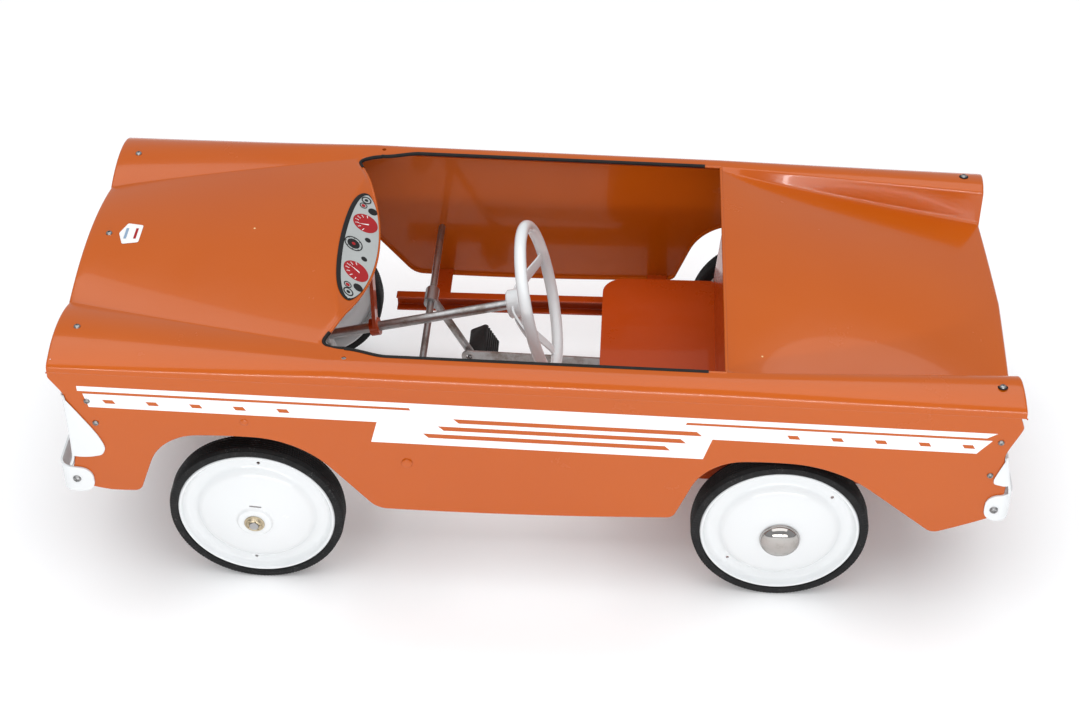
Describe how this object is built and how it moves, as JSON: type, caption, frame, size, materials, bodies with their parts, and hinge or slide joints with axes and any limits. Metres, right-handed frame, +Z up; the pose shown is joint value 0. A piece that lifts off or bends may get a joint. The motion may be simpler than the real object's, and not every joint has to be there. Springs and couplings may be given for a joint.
{
  "type": "pedal car",
  "caption": "Child's pressed-steel pedal car with disc wheels, steering by column and track rod, and hanging pedals driving a cranked rear axle.",
  "frame": {"origin": "on the ground, at the middle of the car's length and width", "axes": "+X forward, +Y to the car's left, +Z up"},
  "size_m": [1.0045, 0.4448, 0.332],
  "materials": {
    "body_paint": "gloss orange enamel",
    "label_grey": "printed satin label",
    "flash_white": "gloss white transfer",
    "white_enamel": "gloss white enamel",
    "lamp_silver": "satin silver paint",
    "lamp_red": "gloss red enamel",
    "zinc": "zinc plated",
    "bare_steel": "drawn steel",
    "nylon": "natural nylon",
    "chrome": "polished chrome",
    "tyre": "moulded rubber",
    "pedal_rubber": "moulded rubber"
  },
  "bodies": {
    "car_body": {"body_top": "body_paint", "side_panel_left": "body_paint", "side_panel_right": "body_paint", "dash_label": "label_grey", "nose_label": "flash_white", "side_flash_left": "flash_white", "side_flash_right": "flash_white", "grille_panel": "white_enamel", "headlamps": "white_enamel", "headlamp_lenses": "lamp_silver", "front_bumper": "white_enamel", "tail_panel": "white_enamel", "tail_lamps": "lamp_red", "rear_bumper": "white_enamel", "top_screws": "zinc", "side_screws": "zinc", "bumper_bolts": "zinc", "side_rivets": "body_paint", "front_cross_member": "body_paint", "beam_hangers": "body_paint", "front_axle_beam": "bare_steel", "column_foot_bracket": "body_paint", "column_dash_bracket": "body_paint", "chassis_rails": "body_paint", "outriggers": "body_paint", "rear_cross_member": "body_paint", "seat_pan": "body_paint", "seat_back": "body_paint", "axle_hangers": "bare_steel", "axle_bushes": "nylon", "pedal_pivot_rod": "bare_steel"},
    "steering": {"steering_column": "bare_steel", "steering_wheel": "white_enamel", "steering_wheel_nut": "chrome"},
    "stub_left": {"stub_axle_left": "bare_steel", "kingpin_nut_left": "zinc", "push_nut_front_left": "zinc"},
    "stub_right": {"stub_axle_right": "bare_steel", "kingpin_nut_right": "zinc", "push_nut_front_right": "zinc"},
    "track_link": {"track_rod": "bare_steel"},
    "front_left_wheel": {"wheel_front_left": "white_enamel", "tyre_front_left": "tyre"},
    "front_right_wheel": {"wheel_front_right": "white_enamel", "tyre_front_right": "tyre", "hub_cap_front_right": "chrome"},
    "crank": {"crank_axle": "bare_steel", "push_nuts_rear": "zinc", "wheel_rear_left": "white_enamel", "tyre_rear_left": "tyre", "hub_cap_rear_left": "chrome"},
    "rear_right_wheel": {"wheel_rear_right": "white_enamel", "tyre_rear_right": "tyre", "hub_cap_rear_right": "chrome"},
    "rod_left": {"pedal_rod_left": "bare_steel"},
    "rod_right": {"pedal_rod_right": "bare_steel"},
    "pedal_left": {"pedal_arm_left": "bare_steel", "pedal_block_left": "pedal_rubber"},
    "pedal_right": {"pedal_arm_right": "bare_steel", "pedal_block_right": "pedal_rubber"}
  },
  "joints": [
    {"name": "steer", "type": "hinge", "parent": "car_body", "child": "steering", "pos_m": [0.002, 0, 0.246], "axis": [-0.9703, 0, 0.2419], "range_deg": [-22, 22]},
    {"name": "steer_left_wheel", "type": "hinge", "parent": "car_body", "child": "stub_left", "pos_m": [0.299, 0.148, 0.095], "axis": [0, 0, 1], "range_deg": [-22, 22]},
    {"name": "steer_right_wheel", "type": "hinge", "parent": "car_body", "child": "stub_right", "pos_m": [0.299, -0.148, 0.095], "axis": [0, 0, 1], "range_deg": [-22, 22]},
    {"name": "track_rod_pivot", "type": "hinge", "parent": "stub_left", "child": "track_link", "pos_m": [0.263, 0.148, 0.131], "axis": [0, 0, 1], "range_deg": [-22, 22]},
    {"name": "front_left_spin", "type": "hinge", "parent": "stub_left", "child": "front_left_wheel", "pos_m": [0.299, 0.1865, 0.095], "axis": [0, 1, 0], "continuous": true},
    {"name": "front_right_spin", "type": "hinge", "parent": "stub_right", "child": "front_right_wheel", "pos_m": [0.299, -0.1865, 0.095], "axis": [0, 1, 0], "continuous": true},
    {"name": "crank_spin", "type": "hinge", "parent": "car_body", "child": "crank", "pos_m": [-0.265, 0, 0.095], "axis": [0, 1, 0], "continuous": true},
    {"name": "rear_right_spin", "type": "hinge", "parent": "car_body", "child": "rear_right_wheel", "pos_m": [-0.265, -0.1865, 0.095], "axis": [0, 1, 0], "continuous": true},
    {"name": "rod_left_pivot", "type": "hinge", "parent": "crank", "child": "rod_left", "pos_m": [-0.223, 0.062, 0.095], "axis": [0, 1, 0], "continuous": true},
    {"name": "rod_right_pivot", "type": "hinge", "parent": "crank", "child": "rod_right", "pos_m": [-0.307, -0.062, 0.095], "axis": [0, 1, 0], "continuous": true},
    {"name": "pedal_left_swing", "type": "hinge", "parent": "car_body", "child": "pedal_left", "pos_m": [0.13, 0.071, 0.188], "axis": [0, 1, 0], "range_deg": [0, 55.6]},
    {"name": "pedal_right_swing", "type": "hinge", "parent": "car_body", "child": "pedal_right", "pos_m": [0.13, -0.071, 0.188], "axis": [0, 1, 0], "range_deg": [-55.6, 0]}
  ],
  "couplings": [
    {"joint": "steer_left_wheel", "follows": "steer", "ratio": 1},
    {"joint": "steer_right_wheel", "follows": "steer", "ratio": 1},
    {"joint": "track_rod_pivot", "follows": "steer", "ratio": -1},
    {"joint": "rod_left_pivot", "follows": "crank_spin", "ratio": -1},
    {"joint": "rod_right_pivot", "follows": "crank_spin", "ratio": -1},
    {"joint": "pedal_right_swing", "follows": "pedal_left_swing", "ratio": -1}
  ]
}
